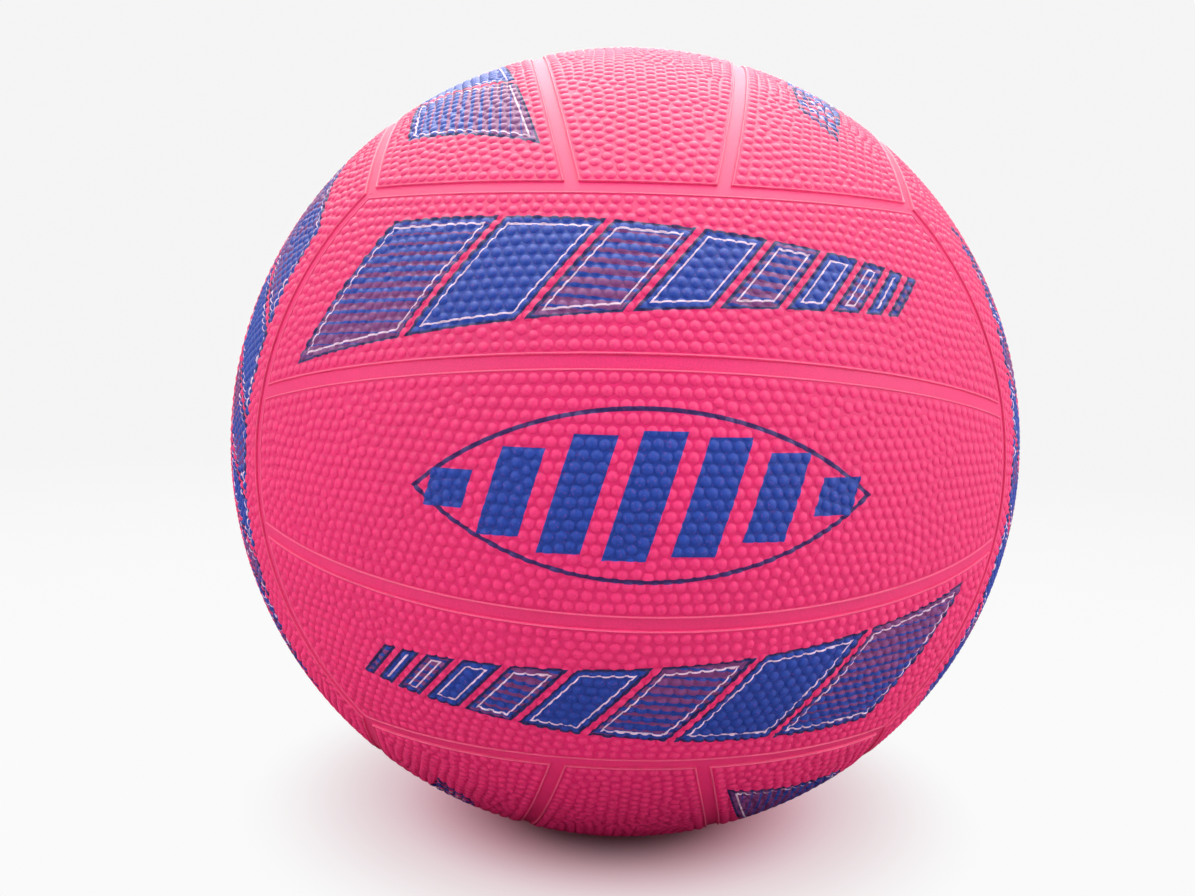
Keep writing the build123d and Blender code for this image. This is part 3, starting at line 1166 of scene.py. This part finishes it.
def thread_waves(tree, lean, swing):
    """Parallel threads in one direction around the ball."""
    turn = tree.nodes.new("ShaderNodeMapping")
    turn.inputs["Rotation"].default_value = (lean, swing, 0)
    tree.links.new(object_place(tree), turn.inputs["Vector"])
    wave = tree.nodes.new("ShaderNodeTexWave")
    wave.inputs["Scale"].default_value = WAVE_REPEAT / THREAD_WIDTH
    wave.inputs["Distortion"].default_value = THREAD_WANDER
    wave.inputs["Detail Scale"].default_value = WANDER_SCALE
    tree.links.new(turn.outputs["Vector"], wave.inputs["Vector"])
    return wave.outputs["Fac"]


def wound_thread():
    """Nylon threads in four directions, one over the other."""
    material, tree, shader = new_material("wound_nylon")
    winds = [thread_waves(tree, lean, swing) for lean, swing in THREAD_TURNS]
    height = winds[0]
    for wind in winds[1:]:
        height = sum_of(tree, "MAXIMUM", height, wind)
    tree.links.new(blend_colours(tree, height, NYLON_SHADE, NYLON), shader.inputs["Base Color"])
    shader.inputs["Roughness"].default_value = NYLON_ROUGHNESS
    shader.inputs["Sheen Weight"].default_value = NYLON_SHEEN
    add_bump(tree, shader, height, THREAD_HEIGHT, THREAD_STRENGTH)
    return material


nylon_thread = wound_thread()
print("thread wound in", len(THREAD_TURNS), "directions")

# %% Dark rubber
DARK_RUBBER = (0.030, 0.030, 0.033)
BUTYL = (0.022, 0.022, 0.024)
VALVE_ROUGHNESS = 0.4
CARCASS_ROUGHNESS = 0.6
BUTYL_ROUGHNESS = 0.3

valve_rubber = plain_rubber("valve_rubber", DARK_RUBBER, VALVE_ROUGHNESS)
needle_plug.data.materials.append(valve_rubber)
inner_finishes = {
    "rubber_carcass": plain_rubber("carcass_rubber", DARK_RUBBER, CARCASS_ROUGHNESS),
    "nylon_winding": nylon_thread,
    "bladder": plain_rubber("butyl_bladder", BUTYL, BUTYL_ROUGHNESS),
    "valve_seat": valve_rubber,
}
for node, finish in inner_finishes.items():
    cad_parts[node].material_slots[0].material = finish
print("finishes inside the ball:", ", ".join(inner_finishes))

# %% [markdown]
# ## Paper sweep
# A ball is photographed on a paper sweep: a sheet that lies flat under it and curves up behind it.
# A floor and a wall would show a line where they meet, so the paper is one grid, bent along a
# quarter circle.

# %% Bend the paper
BALL_RADIUS = FACE_RADIUS + PEBBLE_HEIGHT
SWEEP_HALF_WIDTH = 4.0
SWEEP_FRONT = -4.0
SWEEP_FLAT_TO = 1.0
SWEEP_BEND = 0.6
SWEEP_LENGTH = 8.0
SWEEP_STEPS = 160


def sweep_place(distance):
    """How far back and how high the paper is, at a distance along it."""
    past = distance - (SWEEP_FLAT_TO - SWEEP_FRONT)
    if past <= 0:
        return SWEEP_FRONT + distance, 0.0
    turn = min(past / SWEEP_BEND, math.pi / 2)
    rest = past - turn * SWEEP_BEND
    return SWEEP_FLAT_TO + SWEEP_BEND * math.sin(turn), SWEEP_BEND * (1 - math.cos(turn)) + rest


def lay_paper():
    """The sweep, bent from a flat grid."""
    bm = bmesh.new()
    bmesh.ops.create_grid(bm, x_segments=2, y_segments=SWEEP_STEPS, size=1)
    for vert in bm.verts:
        back, high = sweep_place((vert.co.y + 1) / 2 * SWEEP_LENGTH)
        vert.co = (vert.co.x * SWEEP_HALF_WIDTH, back, high - BALL_RADIUS)
    mesh = bpy.data.meshes.new("paper_sweep")
    bm.to_mesh(mesh)
    bm.free()
    mesh.shade_smooth()
    sweep = add_object("paper_sweep", mesh)
    return sweep


paper = lay_paper()
print("paper sweep:", len(paper.data.polygons), "faces")

# %% [markdown]
# ## Look of the paper
# Close to the ball's foot the paper takes real light and shade, so the dark contact is a real shadow,
# and its colour there is a painted pink that stands for light bounced from the ball. More light could
# make the rest of it white, but it would burn out the ball. So the camera is shown an even white
# there, and around the foot a painted pink glow of the ball's bounced light. What the paper gives back
# to the ball is set by itself: pale with a little painted pink all around, painted dark shade under
# the foot, and to a mirror painted dark pink shade, white only from far off.

# %% Helpers for the paper and the room
def rising(tree, value, limits):
    """A soft rise from nought to one between two limits."""
    node = tree.nodes.new("ShaderNodeMapRange")
    node.interpolation_type = "SMOOTHSTEP"
    node.inputs["From Min"].default_value = limits[0]
    node.inputs["From Max"].default_value = limits[1]
    tree.links.new(value, node.inputs["Value"])
    return node.outputs["Result"]


def distance_from(tree, centre):
    """How far a place on the paper is from a point of it."""
    distance = tree.nodes.new("ShaderNodeVectorMath")
    distance.operation = "DISTANCE"
    distance.inputs[1].default_value = centre
    tree.links.new(object_place(tree), distance.inputs[0])
    return distance.outputs["Value"]


def ray_kinds(tree):
    """Sockets that are one for what the camera sees, and for what a mirror or glass shows."""
    rays = tree.nodes.new("ShaderNodeLightPath")
    glossy, through = rays.outputs["Is Glossy Ray"], rays.outputs["Is Transmission Ray"]
    return rays.outputs["Is Camera Ray"], sum_of(tree, "MAXIMUM", glossy, through)


print("ball radius over the pebbles in mm:", round(BALL_RADIUS / MM, 2))

# %% White paper with a contact shadow
# painted pink: near the foot the camera sees the paper tinted as if lit by the ball's bounced light, and
# the light it bounces back is a little painted pink too
PAPER_SEEN_PINK_BOUNCE = (0.90, 0.30, 0.42)
PAPER_BOUNCE_PINK_TINT = (0.98, 0.90, 0.91)
# painted shade: the paper is dark pink to mirrors, and nearly black to bounced light under the foot
PAPER_MIRRORED_SHADE = (0.20, 0.05, 0.08)
FOOT_PAINTED_SHADE = (0.05, 0.01, 0.02)
WHITE_SEEN = (0.955, 0.955, 0.955)
WALL_SEEN = (0.910, 0.910, 0.910)
# painted pink bounce light on the paper around the foot
PINK_BOUNCE_SEEN = (0.610, 0.365, 0.425)
SEEN_WHITE = (0.245 * BALL_RADIUS, 0.62 * BALL_RADIUS)
MIRRORED_WHITE = (3 * BALL_RADIUS, 8 * BALL_RADIUS)
FOOT_SHADE_REACH = (0.85 * BALL_RADIUS, 1.25 * BALL_RADIUS)
PINK_BOUNCE_REACH = (0.35 * BALL_RADIUS, 1.05 * BALL_RADIUS)
WALL_REACH = (2 * BALL_RADIUS, 10 * BALL_RADIUS)
SHADE_CENTRE = (0, 0.05 * BALL_RADIUS, -BALL_RADIUS)
PINK_BOUNCE_CENTRE = (0, 0.15 * BALL_RADIUS, -BALL_RADIUS)


def paper_material():
    """Paper that takes shadows near the ball and is seen as even white further off, with painted pink
    bounce light around the foot and painted shade under it.
    """
    material, tree, shader = new_material("paper")
    seen, mirrored = ray_kinds(tree)
    distance = distance_from(tree, SHADE_CENTRE)
    lit = blend_colours(tree, mirrored, PAPER_BOUNCE_PINK_TINT, PAPER_MIRRORED_SHADE)
    bounce = blend_colours(tree, rising(tree, distance, FOOT_SHADE_REACH), FOOT_PAINTED_SHADE, lit)
    tree.links.new(blend_colours(tree, seen, bounce, PAPER_SEEN_PINK_BOUNCE), shader.inputs["Base Color"])
    shader.inputs["Roughness"].default_value = 1.0
    shader.inputs["Specular IOR Level"].default_value = 0.0
    seen_share = sum_of(tree, "MULTIPLY", seen, rising(tree, distance, SEEN_WHITE))
    mirrored_share = sum_of(tree, "MULTIPLY", mirrored, rising(tree, distance, MIRRORED_WHITE))
    white = tree.nodes.new("ShaderNodeEmission")
    past_pink_bounce = rising(tree, distance_from(tree, PINK_BOUNCE_CENTRE), PINK_BOUNCE_REACH)
    near = blend_colours(tree, past_pink_bounce, PINK_BOUNCE_SEEN, WHITE_SEEN)
    shade = blend_colours(tree, rising(tree, distance, WALL_REACH), near, WALL_SEEN)
    tree.links.new(shade, white.inputs["Color"])
    mix = tree.nodes.new("ShaderNodeMixShader")
    tree.links.new(sum_of(tree, "MAXIMUM", seen_share, mirrored_share), mix.inputs["Fac"])
    tree.links.new(shader.outputs["BSDF"], mix.inputs[1])
    tree.links.new(white.outputs["Emission"], mix.inputs[2])
    tree.links.new(mix.outputs["Shader"], tree.nodes["Material Output"].inputs["Surface"])
    return material


paper.data.materials.append(paper_material())
print("the blush on the paper ends", round(PINK_BOUNCE_REACH[1] / MM), "mm from its middle")

# %% [markdown]
# ## Light
# The room gives a weak light from all sides. Two softboxes high in front light the upper half and
# the paper, and the paper sends light back up to the lower half. A wide warm softbox above and one
# low at each side show only as sheen, and two behind the ball give only even light. One strong lamp
# could do it all, but it would burn out the top before the sides showed any sheen.

# %% Room light
ROOM_LIGHT = 0.26
DARK_ROOM = 0.06
MIRRORED_ROOM = (-0.2, 0.4)     # the room is mirrored white from the back, and dim in front


def light_room():
    """An even light from all sides, seen white by the camera."""
    world = bpy.data.worlds.new("studio")
    bpy.context.scene.world = world
    world.use_nodes = True
    tree = world.node_tree
    tree.nodes.clear()
    camera_ray, mirrored = ray_kinds(tree)
    place = tree.nodes.new("ShaderNodeTexCoord")
    parts = tree.nodes.new("ShaderNodeSeparateXYZ")
    tree.links.new(place.outputs["Generated"], parts.inputs[0])
    behind = sum_of(tree, "MULTIPLY", mirrored, rising(tree, parts.outputs["Y"], MIRRORED_ROOM))
    seen = sum_of(tree, "MAXIMUM", camera_ray, behind)
    dim = blend_colours(tree, mirrored, (ROOM_LIGHT,) * 3, (DARK_ROOM,) * 3)
    glow = tree.nodes.new("ShaderNodeBackground")
    tree.links.new(blend_colours(tree, seen, dim, WALL_SEEN), glow.inputs["Color"])
    output = tree.nodes.new("ShaderNodeOutputWorld")
    tree.links.new(glow.outputs[0], output.inputs["Surface"])


light_room()
print("room light:", ROOM_LIGHT)

# %% Softboxes
WHITE_CLOTH = (1.0, 1.0, 1.0)
WARM_CLOTH = (1.0, 0.97, 0.84)


def softbox(name, place, size, radiance, diffuse=True, glossy=True, tint=WHITE_CLOTH):
    """A square soft light that faces the ball, given by the brightness of its cloth."""
    data = bpy.data.lights.new(name, "AREA")
    data.shape = "SQUARE"
    data.size = size
    data.energy = radiance * math.pi * size**2
    data.color = tint
    lamp = add_object(name, data)
    lamp.rotation_mode = "QUATERNION"
    lamp.location = place
    lamp.rotation_quaternion = (-Vector(place)).to_track_quat("-Z", "Y")
    lamp.visible_diffuse = diffuse
    lamp.visible_glossy = glossy
    print(name, "power in watts:", round(data.energy, 1))


softbox("gloss_softbox", (0.0, 0.35, 1.0), 1.4, 10.8, diffuse=False, tint=WARM_CLOTH)
softbox("left_softbox", (-1.15, -0.65, 1.1), 0.9, 6.25)
softbox("right_softbox", (1.15, -0.65, 1.1), 0.9, 6.9)
softbox("left_sheen_softbox", (-1.3, -0.45, 0.25), 0.9, 2.5, diffuse=False)
softbox("right_sheen_softbox", (1.3, -0.45, 0.25), 0.9, 4.5, diffuse=False)
softbox("back_left_softbox", (-1.0, 1.1, 0.25), 0.9, 2.2, glossy=False)
softbox("back_right_softbox", (1.0, 1.1, 0.25), 0.9, 2.2, glossy=False)

# %% [markdown]
# ## Camera
# The ball was photographed from close by, a little above its middle. A camera could be placed by
# eye, but this one was fitted to the outline and the seams of the photographed ball, and turned by
# a degree and a half, so the picture lies over the photograph.

# %% Camera
CAMERA_PLACE = Vector((-0.13795, -3.08047, 0.30783)) * BALL_RADIUS
CAMERA_TARGET = Vector((-0.0660, 0.0005, -0.0168)) * BALL_RADIUS
CAMERA_ROLL = math.radians(1.52)
CAMERA_LENS = 34.88
CAMERA_SENSOR = 36


def set_camera():
    """The photo's own view."""
    data = bpy.data.cameras.new("camera")
    data.lens = CAMERA_LENS
    data.sensor_width = CAMERA_SENSOR
    camera = add_object("camera", data)
    camera.rotation_mode = "QUATERNION"
    camera.location = CAMERA_PLACE
    aim = (CAMERA_TARGET - CAMERA_PLACE).to_track_quat("-Z", "Y")
    camera.rotation_quaternion = aim @ Quaternion((0, 0, 1), CAMERA_ROLL)
    bpy.context.scene.camera = camera


set_camera()
bpy.context.scene.view_settings.view_transform = "Standard"
print("camera to the ball's centre in mm:", round(CAMERA_PLACE.length / MM))
